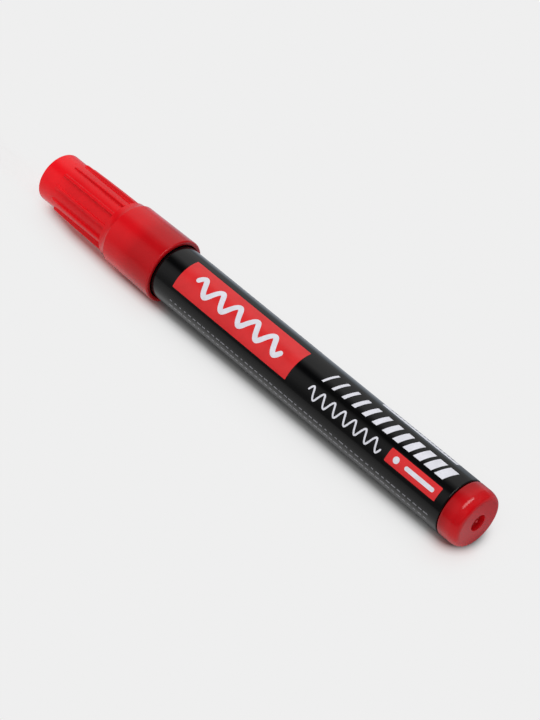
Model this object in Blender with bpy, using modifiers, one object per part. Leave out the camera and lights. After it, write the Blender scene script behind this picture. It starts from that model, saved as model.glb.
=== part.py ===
"""A capped permanent marker with a bullet nib, in metres.

The marker lies along X: its ribbed cap points to -X and its end plug to +X. The origin lies under the middle
of the marker, on the surface that it rests on. A station is a distance along the marker from the cap's end.
"""

import math

import bmesh
import bpy
from mathutils import Matrix

# Round pieces
SIDES = 48
ARC_STEPS = 5
FIT_GAP = 0.0003

# Barrel
BARREL_DIAMETER = 0.014
BARREL_WALL = 0.0011
BARREL_LENGTH = 0.1053
BARREL_EDGE = 0.0002

# Cap shell: the ribbed grip, the flare and the skirt that covers the front of the barrel
GRIP_DIAMETER = 0.0128
GRIP_WALL = 0.0009
CAP_END_WALL = 0.0012
CAP_END_ROUNDING = 0.0004
FLARE_LENGTH = 0.0023
SHOULDER_WALL = 0.0007
STEP_WALL = 0.0012
SKIRT_LENGTH = 0.016
MOUTH_CLEARANCE = 0.0004
LIP_WALL = 0.00085

# Ribs along the grip
RIB_COUNT = 12
RIB_FIRST_ANGLE = math.radians(20)
RIB_SETBACK = 0.0057
RIB_HEIGHT = 0.0008
RIB_WIDTH = 0.0007
RIB_START_ROUNDING = 0.0005

# Cap liner, and the air space that it keeps in front of the nib
LINER_WALL = 0.0008
TIP_ROOM = 0.0075
LINER_RIM_GAP = 0.0024

# Nib
NIB_DIAMETER = 0.0047
NIB_EXPOSED = 0.005
NIB_TIP_LENGTH = 0.0034
NIB_TAIL = 0.006

# Nose section
NOSE_TIP_WALL = 0.0008
NOSE_TAPER = 0.005
NOSE_NECK = 0.008
COLLAR_THICKNESS = 0.0012
COLLAR_INSET = 0.0003
NOSE_SPIGOT = 0.009
NOSE_SPIGOT_WALL = 0.0011
NOSE_WEB = 0.0015

# End plug
PLUG_HEAD = 0.0053
PLUG_INSET = 0.00002
PLUG_ROUNDING_LENGTH = 0.003
PLUG_ROUNDING_DEPTH = 0.0008
PLUG_SPIGOT = 0.009
PLUG_SPIGOT_WALL = 0.0012
PLUG_WEB = 0.0016
DIMPLE_DIAMETER = 0.0034
DIMPLE_DEPTH = 0.001

# Ink reservoir
FILM_WALL = 0.0003

# Radii that follow from the sizes above
BARREL_RADIUS = BARREL_DIAMETER / 2
BARREL_BORE = BARREL_RADIUS - BARREL_WALL
SPIGOT_RADIUS = BARREL_BORE - FIT_GAP
GRIP_RADIUS = GRIP_DIAMETER / 2
GRIP_BORE = GRIP_RADIUS - GRIP_WALL
SKIRT_BORE = BARREL_RADIUS + FIT_GAP
SHOULDER_RADIUS = SKIRT_BORE + SHOULDER_WALL
MOUTH_RADIUS = BARREL_RADIUS + MOUTH_CLEARANCE
LIP_RADIUS = MOUTH_RADIUS + LIP_WALL
LINER_RADIUS = GRIP_BORE - FIT_GAP
LINER_BORE = LINER_RADIUS - LINER_WALL
NECK_RADIUS = LINER_BORE - FIT_GAP
NIB_RADIUS = NIB_DIAMETER / 2
NIB_HOLE = NIB_RADIUS + FIT_GAP
NOSE_TIP_RADIUS = NIB_HOLE + NOSE_TIP_WALL
COLLAR_RADIUS = BARREL_RADIUS - COLLAR_INSET
PLUG_RADIUS = BARREL_RADIUS - PLUG_INSET
FILM_RADIUS = BARREL_BORE - FIT_GAP
FILM_BORE = FILM_RADIUS - FILM_WALL
CORE_RADIUS = FILM_BORE - FIT_GAP

# Stations along the marker that follow from the sizes above
LINER_END = CAP_END_WALL + FIT_GAP
LINER_FLOOR = LINER_END + LINER_WALL
NIB_TIP = LINER_FLOOR + TIP_ROOM
NOSE_FRONT = NIB_TIP + NIB_EXPOSED
TAPER_END = NOSE_FRONT + NOSE_TAPER
COLLAR_FRONT = TAPER_END + NOSE_NECK
COLLAR_REAR = COLLAR_FRONT + COLLAR_THICKNESS
NOSE_REAR = COLLAR_REAR + NOSE_SPIGOT
NIB_REAR = NOSE_REAR + NIB_TAIL
LINER_RIM = COLLAR_FRONT - LINER_RIM_GAP
CAP_STEP = COLLAR_FRONT - FIT_GAP
SHOULDER = CAP_STEP - STEP_WALL
FLARE_START = SHOULDER - FLARE_LENGTH
LIP = SHOULDER + SKIRT_LENGTH
BARREL_FRONT = COLLAR_REAR + FIT_GAP
BARREL_REAR = BARREL_FRONT + BARREL_LENGTH
PLUG_FRONT = BARREL_REAR + FIT_GAP
PLUG_REAR = PLUG_FRONT + PLUG_HEAD
PLUG_SPIGOT_FRONT = PLUG_FRONT - PLUG_SPIGOT
CORE_FRONT = NOSE_REAR + FIT_GAP
CORE_REAR = PLUG_SPIGOT_FRONT - FIT_GAP

# The marker lies on a side of the lip and on a corner of the barrel, which keeps it from rocking.
HALF_SIDE_ANGLE = math.pi / SIDES
AXIS_HEIGHT = LIP_RADIUS * math.cos(HALF_SIDE_ANGLE)


def clear_scene():
    for obj in list(bpy.data.objects):
        bpy.data.objects.remove(obj, do_unlink=True)


def new_collection(name):
    collection = bpy.data.collections.new(name)
    bpy.context.scene.collection.children.link(collection)
    return collection


def finish(name, colour, roughness):
    """A plastic or fibre finish of one colour."""
    material = bpy.data.materials.new(name)
    material.use_nodes = True
    shader = material.node_tree.nodes["Principled BSDF"]
    shader.inputs["Base Color"].default_value = (*colour, 1)
    shader.inputs["Roughness"].default_value = roughness
    shader.inputs["Metallic"].default_value = 0
    return material


def axis_empty(name, collection, parent=None):
    empty = bpy.data.objects.new(name, None)
    collection.objects.link(empty)
    empty.parent = parent
    return empty


def quarter_ellipse(start, corner, end):
    """Points from start to end on the quarter ellipse that rounds off the corner."""
    points = []
    for step in range(ARC_STEPS + 1):
        angle = math.pi / 2 * step / ARC_STEPS
        along = math.sin(angle)
        back = 1 - math.cos(angle)
        station = start[0] + (corner[0] - start[0]) * along + (end[0] - corner[0]) * back
        radius = start[1] + (corner[1] - start[1]) * along + (end[1] - corner[1]) * back
        points.append((station, radius))
    return points


def turned(name, profile, closed, material, parent, collection):
    """Turns a profile of (station, radius) points, rear to front on its outer side, about the marker's axis."""
    edges = [(i, i + 1) for i in range(len(profile) - 1)]
    if closed:
        edges.append((len(profile) - 1, 0))
    mesh = bpy.data.meshes.new(name)
    mesh.from_pydata([(radius, 0, station) for station, radius in profile], edges, [])
    mesh.materials.append(material)
    piece = bpy.data.objects.new(name, mesh)
    collection.objects.link(piece)
    piece.parent = parent
    screw = piece.modifiers.new("turn", "SCREW")
    screw.steps = SIDES
    screw.render_steps = SIDES
    screw.use_merge_vertices = True
    screw.merge_threshold = 0.00001
    screw.use_smooth_shade = True
    return piece


def barrel_tube(*place):
    profile = [
        (BARREL_REAR, BARREL_BORE),
        (BARREL_REAR, BARREL_RADIUS - BARREL_EDGE),
        (BARREL_REAR - BARREL_EDGE, BARREL_RADIUS),
        (BARREL_FRONT + BARREL_EDGE, BARREL_RADIUS),
        (BARREL_FRONT, BARREL_RADIUS - BARREL_EDGE),
        (BARREL_FRONT, BARREL_BORE),
    ]
    return turned("barrel_tube", profile, True, finish("barrel_black", (0.012, 0.012, 0.014), 0.2), *place)


def end_plug(*place):
    dimple_radius = DIMPLE_DIAMETER / 2
    dimple = quarter_ellipse(
        (PLUG_REAR - DIMPLE_DEPTH, 0), (PLUG_REAR - DIMPLE_DEPTH, dimple_radius), (PLUG_REAR, dimple_radius)
    )
    rounding = quarter_ellipse(
        (PLUG_REAR, PLUG_RADIUS - PLUG_ROUNDING_DEPTH),
        (PLUG_REAR, PLUG_RADIUS),
        (PLUG_REAR - PLUG_ROUNDING_LENGTH, PLUG_RADIUS),
    )
    hollow_radius = SPIGOT_RADIUS - PLUG_SPIGOT_WALL
    hollow_end = PLUG_REAR - DIMPLE_DEPTH - PLUG_WEB
    profile = dimple + rounding + [
        (PLUG_FRONT, PLUG_RADIUS),
        (PLUG_FRONT, SPIGOT_RADIUS),
        (PLUG_SPIGOT_FRONT, SPIGOT_RADIUS),
        (PLUG_SPIGOT_FRONT, hollow_radius),
        (hollow_end, hollow_radius),
        (hollow_end, 0),
    ]
    return turned("end_plug", profile, False, finish("plug_red", (0.55, 0.02, 0.03), 0.3), *place)


def nose_section(*place):
    cavity_radius = SPIGOT_RADIUS - NOSE_SPIGOT_WALL
    cavity_front = COLLAR_FRONT + NOSE_WEB
    profile = [
        (NOSE_REAR, SPIGOT_RADIUS),
        (COLLAR_REAR, SPIGOT_RADIUS),
        (COLLAR_REAR, COLLAR_RADIUS),
        (COLLAR_FRONT, COLLAR_RADIUS),
        (COLLAR_FRONT, NECK_RADIUS),
        (TAPER_END, NECK_RADIUS),
        (NOSE_FRONT, NOSE_TIP_RADIUS),
        (NOSE_FRONT, NIB_HOLE),
        (cavity_front, NIB_HOLE),
        (cavity_front, cavity_radius),
        (NOSE_REAR, cavity_radius),
    ]
    return turned("nose_section", profile, True, finish("nose_black", (0.015, 0.015, 0.016), 0.4), *place)


def fibre_nib(*place):
    tip = quarter_ellipse(
        (NIB_TIP + NIB_TIP_LENGTH, NIB_RADIUS), (NIB_TIP, NIB_RADIUS), (NIB_TIP, 0)
    )
    profile = [(NIB_REAR, 0), (NIB_REAR, NIB_RADIUS)] + tip
    return turned("fibre_nib", profile, False, finish("nib_inked_fibre", (0.05, 0.01, 0.012), 0.8), *place)


def ink_reservoir(*place):
    socket_end = NIB_REAR + FIT_GAP
    profile = [
        (CORE_REAR, 0),
        (CORE_REAR, CORE_RADIUS),
        (CORE_FRONT, CORE_RADIUS),
        (CORE_FRONT, NIB_HOLE),
        (socket_end, NIB_HOLE),
        (socket_end, 0),
    ]
    return turned("ink_reservoir", profile, False, finish("reservoir_fibre", (0.3, 0.02, 0.03), 0.9), *place)


def reservoir_film(*place):
    profile = [
        (CORE_REAR, FILM_RADIUS),
        (CORE_FRONT, FILM_RADIUS),
        (CORE_FRONT, FILM_BORE),
        (CORE_REAR, FILM_BORE),
    ]
    return turned("reservoir_film", profile, True, finish("film_clear", (0.8, 0.8, 0.8), 0.2), *place)


def cap_ribs(parent, collection):
    """Bars along the grip, rounded where they start, that are joined to the cap."""
    root = GRIP_RADIUS - GRIP_WALL / 2
    top = GRIP_RADIUS + RIB_HEIGHT
    start = RIB_SETBACK
    end = SHOULDER
    shape = Matrix.Translation(((root + top) / 2, 0, (start + end) / 2))
    shape = shape @ Matrix.Diagonal((top - root, RIB_WIDTH, end - start, 1))
    bars = bmesh.new()
    for number in range(RIB_COUNT):
        turn = Matrix.Rotation(RIB_FIRST_ANGLE + number * math.tau / RIB_COUNT, 4, "Z")
        corners = bmesh.ops.create_cube(bars, size=1, matrix=shape)["verts"]
        start_corner = [v for v in corners if v.co.x > GRIP_RADIUS and v.co.z < (start + end) / 2]
        start_edge = [e for e in start_corner[0].link_edges if e.other_vert(start_corner[0]) in start_corner]
        rounded = bmesh.ops.bevel(
            bars, geom=start_edge, offset=RIB_START_ROUNDING, segments=3, profile=0.5, affect="EDGES"
        )
        bar = {v for v in corners if v.is_valid} | set(rounded["verts"])
        bmesh.ops.transform(bars, matrix=turn, verts=list(bar))
    mesh = bpy.data.meshes.new("cap_ribs")
    bars.to_mesh(mesh)
    bars.free()
    ribs = bpy.data.objects.new("cap_ribs", mesh)
    collection.objects.link(ribs)
    ribs.parent = parent
    ribs.hide_render = True
    ribs.display_type = "WIRE"
    return ribs


def cap_shell(cutters, *place):
    parent = place[0]
    end_rounding = quarter_ellipse(
        (CAP_END_ROUNDING, GRIP_RADIUS), (0, GRIP_RADIUS), (0, GRIP_RADIUS - CAP_END_ROUNDING)
    )
    profile = [
        (CAP_END_WALL, 0),
        (CAP_END_WALL, GRIP_BORE),
        (CAP_STEP, GRIP_BORE),
        (CAP_STEP, SKIRT_BORE),
        (LIP, MOUTH_RADIUS),
        (LIP, LIP_RADIUS),
        (SHOULDER, SHOULDER_RADIUS),
        (FLARE_START, GRIP_RADIUS),
    ] + end_rounding + [(0, 0)]
    shell = turned("cap_shell", profile, False, finish("cap_red", (0.62, 0.02, 0.035), 0.25), *place)
    shell.rotation_euler.z = HALF_SIDE_ANGLE
    join = shell.modifiers.new("ribs", "BOOLEAN")
    join.operation = "UNION"
    join.object = cap_ribs(parent, cutters)
    return shell


def cap_liner(*place):
    profile = [
        (LINER_FLOOR, 0),
        (LINER_FLOOR, LINER_BORE),
        (LINER_RIM, LINER_BORE),
        (LINER_RIM, LINER_RADIUS),
        (LINER_END, LINER_RADIUS),
        (LINER_END, 0),
    ]
    liner = turned("cap_liner", profile, False, finish("liner_natural", (0.7, 0.68, 0.64), 0.4), *place)
    liner.rotation_euler.z = HALF_SIDE_ANGLE
    return liner


def main():
    clear_scene()
    parts = new_collection("permanent_marker")
    cutters = new_collection("cutters")
    marker_axis = axis_empty("marker_axis", parts)
    marker_axis.location = (-PLUG_REAR / 2, 0, AXIS_HEIGHT)
    marker_axis.rotation_euler.y = math.pi / 2
    cap_axis = axis_empty("cap_pull_axis", parts, marker_axis)
    for make in (barrel_tube, end_plug, nose_section, fibre_nib, ink_reservoir, reservoir_film):
        make(marker_axis, parts)
    cap_shell(cutters, cap_axis, parts)
    cap_liner(cap_axis, parts)


main()
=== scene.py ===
# %% [markdown]
# # A capped permanent marker
#
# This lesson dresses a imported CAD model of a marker: a glossy black barrel, a ribbed red cap and a red end
# plug, with a nib and an ink reservoir hidden inside. The solids give the exact sizes and stay as the fixed
# frame. Finer meshes and real finishes then stand in for them, one piece at a time.

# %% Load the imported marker
import math

import bmesh
import bpy
from mathutils import Matrix, Vector


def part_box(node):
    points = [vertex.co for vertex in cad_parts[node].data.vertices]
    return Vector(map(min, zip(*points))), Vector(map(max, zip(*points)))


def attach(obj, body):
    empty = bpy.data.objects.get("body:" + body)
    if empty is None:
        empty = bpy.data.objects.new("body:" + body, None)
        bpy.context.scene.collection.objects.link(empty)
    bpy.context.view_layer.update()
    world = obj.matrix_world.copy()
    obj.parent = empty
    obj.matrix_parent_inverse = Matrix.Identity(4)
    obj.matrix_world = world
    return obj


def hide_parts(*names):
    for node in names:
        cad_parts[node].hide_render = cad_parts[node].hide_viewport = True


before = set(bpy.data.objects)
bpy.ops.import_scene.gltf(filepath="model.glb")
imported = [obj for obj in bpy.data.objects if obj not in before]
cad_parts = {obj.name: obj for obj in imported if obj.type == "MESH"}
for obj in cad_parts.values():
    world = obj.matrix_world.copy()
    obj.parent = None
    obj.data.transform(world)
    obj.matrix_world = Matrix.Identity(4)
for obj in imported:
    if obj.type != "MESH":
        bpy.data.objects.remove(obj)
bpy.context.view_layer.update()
MM = 0.001

# %% [markdown]
# ## Sizes come from the frame
#
# Everything on a marker is turned about one line, so a place along X and a radius describe almost all of it.
# The ends of each solid are read from its box. A solid with flat sides is widest at its corners, so its true
# radius is the largest distance of a corner from the axis.

# %% Read places and radii
barrel_low, barrel_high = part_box("barrel_tube")
AXIS_HEIGHT = (barrel_low.z + barrel_high.z) / 2


def widest(node):
    """The largest distance of a solid's corners from the marker's axis."""
    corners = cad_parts[node].data.vertices
    return max(math.hypot(corner.co.y, corner.co.z - AXIS_HEIGHT) for corner in corners)


def ends(node):
    """The first and last place of a solid along the marker."""
    low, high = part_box(node)
    return low.x, high.x


BARREL_FRONT, BARREL_REAR = ends("barrel_tube")
CAP_END, LIP = ends("cap_shell")
LINER_END, LINER_RIM = ends("cap_liner")
NOSE_FRONT, NOSE_REAR = ends("nose_section")
NIB_TIP, NIB_REAR = ends("fibre_nib")
SPIGOT_FRONT, PLUG_REAR = ends("end_plug")
BARREL_RADIUS = widest("barrel_tube")
LIP_RADIUS = widest("cap_shell")
LINER_RADIUS = widest("cap_liner")
COLLAR_RADIUS = widest("nose_section")
NIB_RADIUS = widest("fibre_nib")
PLUG_RADIUS = widest("end_plug")
print("barrel radius", round(BARREL_RADIUS / MM, 3), "mm, cap lip radius", round(LIP_RADIUS / MM, 3), "mm")

# %% [markdown]
# ## The camera
#
# A long lens held above one end of the marker gives the calm product view: the near end is only a little
# larger than the far end. The camera is turned in three plain steps: round the marker, up from the horizon,
# and a small roll.

# %% Set the camera
VIEW_AZIMUTH = math.radians(47.92)
VIEW_ELEVATION = math.radians(48.175)
VIEW_ROLL = math.radians(0.1)
VIEW_DISTANCE = 503.55 * MM
VIEW_TARGET = Vector((7.123 * MM, -1.774 * MM, AXIS_HEIGHT))
SENSOR_WIDTH = 36
LENS = 113.4

camera_data = bpy.data.cameras.new("product_camera")
camera_data.sensor_width = SENSOR_WIDTH
camera_data.lens = LENS
camera_data.clip_start = 10 * MM
camera = bpy.data.objects.new("product_camera", camera_data)
bpy.context.scene.collection.objects.link(camera)
turn = Matrix.Rotation(VIEW_AZIMUTH, 4, "Z")
tilt = Matrix.Rotation(math.pi / 2 - VIEW_ELEVATION, 4, "X")
roll = Matrix.Rotation(VIEW_ROLL, 4, "Z")
back_off = Matrix.Translation((0, 0, VIEW_DISTANCE))
camera.matrix_world = Matrix.Translation(VIEW_TARGET) @ turn @ tilt @ roll @ back_off
bpy.context.scene.camera = camera
bpy.context.scene.view_settings.view_transform = "Standard"
print("camera at", [round(value, 4) for value in camera.matrix_world.translation])

# %% [markdown]
# ## Small helpers for node trees
#
# Materials, lights and Geometry Nodes are all node trees. A few short helpers keep the later cells readable.
# One adds a node and fills or links its inputs, and others do arithmetic, multiply colours, move a value to
# another range or follow it through a list of colours. The last two start a material and a tree with named
# sockets.

# %% Helpers for nodes


def add_node(tree, kind, inputs=None, **settings):
    """Adds a node, then links or fills its inputs. A node given as an input means its first output."""
    node = tree.nodes.new(kind)
    for name, value in settings.items():
        setattr(node, name, value)
    for key, value in (inputs or {}).items():
        if isinstance(value, bpy.types.Node):
            value = value.outputs[0]
        if isinstance(value, bpy.types.NodeSocket):
            tree.links.new(value, node.inputs[key])
        else:
            node.inputs[key].default_value = value
    return node


def work(tree, kind, *values):
    """One step of arithmetic."""
    return add_node(tree, "ShaderNodeMath", dict(enumerate(values)), operation=kind).outputs[0]


def times(tree, first, second, share=1.0):
    """One colour multiplied by another, or by a share of it."""
    both = {0: share, 6: first, 7: second}
    return add_node(tree, "ShaderNodeMix", both, data_type="RGBA", blend_type="MULTIPLY").outputs[2]


def between(tree, value, old, new=(0.0, 1.0)):
    """A value moved from one range to another, and held at its ends."""
    limits = {"From Min": old[0], "From Max": old[1], "To Min": new[0], "To Max": new[1]}
    return add_node(tree, "ShaderNodeMapRange", {"Value": value, **limits}).outputs["Result"]


def ramp_over(tree, value, stops):
    """A colour that follows a value through (value, colour or grey level) stops."""
    low = stops[0][0]
    high = stops[-1][0]
    ramp = add_node(tree, "ShaderNodeValToRGB", {"Fac": between(tree, value, (low, high))})
    elements = ramp.color_ramp.elements
    for place, _ in stops[1:-1]:
        elements.new((place - low) / (high - low))
    for element, (_, colour) in zip(elements, stops):
        element.color = (*colour, 1) if isinstance(colour, tuple) else (colour, colour, colour, 1)
    return ramp.outputs["Color"]


# %% Helpers for materials and trees


def new_finish(name):
    """A material, its node tree and its shader."""
    material = bpy.data.materials.new(name)
    material.use_nodes = True
    return material, material.node_tree, material.node_tree.nodes["Principled BSDF"]


def new_tree(name, kind, inputs, outputs):
    """A node tree with named sockets, and the nodes that stand for its inputs and outputs."""
    tree = bpy.data.node_groups.new(name, kind)
    for in_out, sockets in (("INPUT", inputs), ("OUTPUT", outputs)):
        for label, holds in sockets.items():
            tree.interface.new_socket(label, in_out=in_out, socket_type="NodeSocket" + holds)
    return tree, tree.nodes.new("NodeGroupInput").outputs, tree.nodes.new("NodeGroupOutput").inputs


# %% [markdown]
# ## A table for the marker
#
# The marker lies on its cap's lip and on the rear edge of its barrel, so the table is a plane through those
# two lines. Blender's own plane could be turned into place, but four written corners follow the two sizes by
# themselves. The table isn't part of the object.

# %% Lay the table
TABLE_REACH = 8.0

table_rise = (LIP_RADIUS - BARREL_RADIUS) / (BARREL_REAR - LIP)
lip_bottom = AXIS_HEIGHT - LIP_RADIUS
table_mesh = bpy.data.meshes.new("table")
table_corners = []
for across, along in ((-1, -1), (1, -1), (1, 1), (-1, 1)):
    x = across * TABLE_REACH
    table_corners.append((x, along * TABLE_REACH, lip_bottom + (x - LIP) * table_rise))
table_mesh.from_pydata(table_corners, [], [(0, 1, 2, 3)])
table = bpy.data.objects.new("table", table_mesh)
bpy.context.scene.collection.objects.link(table)
print("the table rises", round(math.degrees(math.atan(table_rise)), 2), "degrees along the marker")

# %% [markdown]
# ## The table's finish
#
# Near the marker the table is white board that takes its shadow, and a painted shadow makes it darker still
# close under the marker. In front of the cap and the plug the board has a painted red glow, which stands in
# for the light that red plastic throws on what lies beside it. Further out the board turns into an even pale
# sheet, as a product picture has. Gloss sees a painted reflection of that sheet. It is paler behind the
# marker, where more light falls, than in front of it, and it has a painted shadow close under the barrel,
# where hardly any light gets in. Short lists of stops are easy to adjust by eye, so each of these shades is
# one.

# %% Choose the table's shades
BACKDROP_PALE = 0.863
# The colour of the painted red glow, which stands in for the light that the red plastic throws on the board.
GLOW = (1.0, 0.53, 0.51)
PULLED_CAP_ROOM = 55 * MM
# Three lines under the marker, each from one place along it to another. Distances are measured from them.
SHEET_LINE = (CAP_END - PULLED_CAP_ROOM, PLUG_REAR - 6 * MM)
BOARD_LINE = (LIP - 12 * MM, PLUG_REAR - 4 * MM)
MIRRORED_LINE = (CAP_END + 9 * MM, PLUG_REAR - 6 * MM)
# How far from its line, in mm: how much of the even sheet shows, how strong the painted red glow on the
# board is, how pale the board is under its painted shadow, and how pale the mirrored sheet is under its
# painted shadow.
SHEET_SHARES = ((0, 0.0), (5, 0.0), (6, 0.34), (7, 0.63), (8, 0.82), (9.5, 0.89), (12, 0.94), (16, 1.0))
GLOW_SHARES = ((0, 0.0), (2.5, 0.15), (4.5, 1.0), (7, 1.0), (14, 0.0))
BOARD_PAINTED_SHADOW = ((0, 0.2), (3.5, 0.2), (4, 0.26), (5, 0.54), (6, 0.7), (7, 0.775))
MIRRORED_PAINTED_SHADOW = (
    (0, 0.06), (3.5, 0.08), (4.5, 0.12), (5.7, 0.26), (7, 0.6), (8.5, 0.98), (10, 1.1), (16, 1.0),
)
# How far behind the marker's line, in mm: how pale the mirrored sheet is, a painted reflection that is paler
# behind the marker where more light falls, and what is in front or behind.
SHEET_MIRRORED = (
    (-100, 0.34), (-25, 0.46), (-10, 0.62), (10, (0.45, 0.48, 0.53)), (18, (0.53, 0.57, 0.64)),
    (28, (0.68, 0.73, 0.81)), (38, (0.6, 0.67, 0.76)), (60, (0.57, 0.635, 0.7)), (140, (0.54, 0.6, 0.66)),
)
IN_FRONT = ((-3, 1.0), (0, 0.0))
BEHIND = ((0, 0.0), (8, 1.0))
# Places along the marker, in mm: how pale the painted reflection of the sheet behind it is, how much slimmer
# the marker is, and how strong its painted red glow on the board is.
MIRRORED_ALONG = (
    (-90, 0.65), (-72, 0.75), (-50, 0.9), (-35, 1.0), (20, 0.97), (40, 0.85), (50, 0.6), (60, 0.36),
    (67, 0.34), (70, 0.6), (76, 0.6),
)
SLIMMER = ((-76, 3.0), (-66, 1.8), (-60, 1.0), (-44, 0.2), (-28, 0.0))
GLOW_ALONG = (
    (-75, 0.0), (-70, 0.6), (-60, 1.0), (-32, 1.0), (-24, 0.0), (60, 0.0), (66, 1.0), (71, 1.0), (75, 0.0),
)
print("the table's shadow fades out", SHEET_SHARES[-1][0], "mm from the marker's line")

# %% Paint the board with its painted shadow and red glow
table_with_painted_light, tree, board = new_finish("table_with_painted_light")
board.inputs["Roughness"].default_value = 1
board.inputs["Specular IOR Level"].default_value = 0
place = add_node(tree, "ShaderNodeTexCoord").outputs["Object"]
spot = add_node(tree, "ShaderNodeSeparateXYZ", {0: place}).outputs


def away_from(start, end):
    """How far a spot on the table is from a line under the marker, in mm."""
    nearest = work(tree, "MAXIMUM", work(tree, "MINIMUM", spot["X"], end), start)
    beside = work(tree, "SUBTRACT", spot["X"], nearest)
    squares = work(tree, "ADD", work(tree, "POWER", beside, 2.0), work(tree, "POWER", spot["Y"], 2.0))
    return work(tree, "DIVIDE", work(tree, "SQRT", squares), MM)


along_mm = work(tree, "DIVIDE", spot["X"], MM)
across_mm = work(tree, "DIVIDE", spot["Y"], MM)
from_marker = work(tree, "ADD", away_from(*SHEET_LINE), ramp_over(tree, along_mm, SLIMMER))
# The board's colour holds a painted shadow close under the marker, on top of the real shadow that it takes.
painted_board_shadow = ramp_over(tree, away_from(*BOARD_LINE), BOARD_PAINTED_SHADOW)
glow = ramp_over(tree, along_mm, GLOW_ALONG)
glow = work(tree, "MULTIPLY", glow, ramp_over(tree, from_marker, GLOW_SHARES))
glow = work(tree, "MULTIPLY", glow, ramp_over(tree, across_mm, IN_FRONT))
tree.links.new(times(tree, painted_board_shadow, (*GLOW, 1), glow), board.inputs["Base Color"])
print("the board has", len(BOARD_PAINTED_SHADOW), "shades under the marker")

# %% Add the even sheet and its painted reflection
# Gloss sees a painted reflection of the sheet: painted light behind the marker and a painted shadow close
# under it.
mirrored = ramp_over(tree, across_mm, SHEET_MIRRORED)
mirrored = times(tree, mirrored, ramp_over(tree, away_from(*MIRRORED_LINE), MIRRORED_PAINTED_SHADOW))
behind = ramp_over(tree, across_mm, BEHIND)
mirrored = times(tree, mirrored, ramp_over(tree, along_mm, MIRRORED_ALONG), behind)
rays = add_node(tree, "ShaderNodeLightPath").outputs
pale = (BACKDROP_PALE, BACKDROP_PALE, BACKDROP_PALE, 1)
level = add_node(tree, "ShaderNodeMix", {0: rays["Is Glossy Ray"], 6: pale, 7: mirrored}, data_type="RGBA")
sheet = add_node(tree, "ShaderNodeEmission", {"Color": level.outputs[2]})
seen = work(tree, "MAXIMUM", rays["Is Camera Ray"], rays["Is Transmission Ray"])
share = work(tree, "MULTIPLY", ramp_over(tree, from_marker, SHEET_SHARES), seen)
share = work(tree, "MAXIMUM", share, rays["Is Glossy Ray"])
mix = add_node(tree, "ShaderNodeMixShader", {0: share, 1: board, 2: sheet})
tree.links.new(mix.outputs[0], tree.nodes["Material Output"].inputs["Surface"])
table_mesh.materials.append(table_with_painted_light)
print("the table's paint has", len(tree.nodes), "nodes")

# %% [markdown]
# ## The studio and its lamps
#
# Gloss shows what stands round an object, so the world is painted as a studio: a broad bright wall behind
# the marker, a dimmer one in front, a dark gap between them overhead, and more light beyond the cap than
# beyond the plug. The camera itself only sees a pale backdrop. One soft box hangs above, and it is mirrored
# as the bright streak on the rounded plug. Two very soft lamps fill in, and they aren't mirrored at all. A
# picture of a studio could light the marker too, but a few stops need no file and are easy to move.

# %% Paint the studio
# Each pair is one part of a direction, from -1 to 1, and how bright the studio is there.
WALLS_ACROSS = (
    (-1.0, 0.1), (-0.86, 0.115), (-0.7, 0.286), (-0.5, 0.34), (-0.32, 0.275), (-0.17, 0.022),
    (0.06, 0.022), (0.2, 0.2), (0.4, 0.56), (0.7, 0.55), (0.8, 0.5), (0.86, 0.44), (1.0, 0.42),
)
WALLS_ALONG = (
    (-1.0, 0.9), (-0.8, 1.0), (-0.6, 1.3), (-0.486, 1.0), (-0.39, 1.05), (-0.33, 0.7), (-0.2, 0.45),
    (0.0, 0.35), (1.0, 0.35),
)

world = bpy.data.worlds.new("studio")
bpy.context.scene.world = world
world.use_nodes = True
sky = world.node_tree
direction = add_node(sky, "ShaderNodeTexCoord").outputs["Generated"]
toward = add_node(sky, "ShaderNodeSeparateXYZ", {0: direction}).outputs
across = ramp_over(sky, toward["Y"], WALLS_ACROSS)
along = ramp_over(sky, toward["X"], WALLS_ALONG)
walls = work(sky, "MULTIPLY", across, along)
from_camera = add_node(sky, "ShaderNodeLightPath").outputs["Is Camera Ray"]
studio = add_node(sky, "ShaderNodeMix", {0: from_camera, 2: walls, 3: BACKDROP_PALE})
sky.links.new(studio.outputs[0], sky.nodes["Background"].inputs["Strength"])
sky.nodes["Background"].inputs["Color"].default_value = (1, 1, 1, 1)
print("the studio has", len(WALLS_ACROSS), "steps across and", len(WALLS_ALONG), "along the marker")

# %% Hang the lamps
SOFT_BOX_POWER = 1.6
SOFT_BOX_SIZE = (0.15, 0.72)
SOFT_BOX_DISTANCE = 0.7
SOFT_BOX_TOWARD = (-0.115, 0, 0.993)
FILL_ANGLE = math.radians(70)


def hang_lamp(name, kind, toward, distance=1.0):
    """A lamp in one direction from the plug, turned so that it shines on it."""
    lamp_data = bpy.data.lights.new(name, kind)
    lamp = bpy.data.objects.new(name, lamp_data)
    bpy.context.scene.collection.objects.link(lamp)
    out = Vector(toward).normalized()
    across = (Vector((0, 1, 0)) - out * out.y).normalized()
    lamp.matrix_world = Matrix((across.cross(out), across, out)).transposed().to_4x4()
    lamp.location = Vector((PLUG_REAR, 0, AXIS_HEIGHT)) + out * distance
    return lamp


soft_box = hang_lamp("soft_box", "AREA", SOFT_BOX_TOWARD, SOFT_BOX_DISTANCE)
soft_box.data.shape = "ELLIPSE"
soft_box.data.size, soft_box.data.size_y = SOFT_BOX_SIZE
soft_box.data.energy = SOFT_BOX_POWER
for name, toward, strength in (
    ("rear_fill", (0.1, 0.45, 0.89), 1.5),
    ("front_fill", (0.2, -0.8, 0.57), 1.28),
):
    fill = hang_lamp(name, "SUN", toward)
    fill.data.angle = FILL_ANGLE
    fill.data.energy = strength
    fill.visible_glossy = False
    print(name, "strength", strength)

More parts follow.
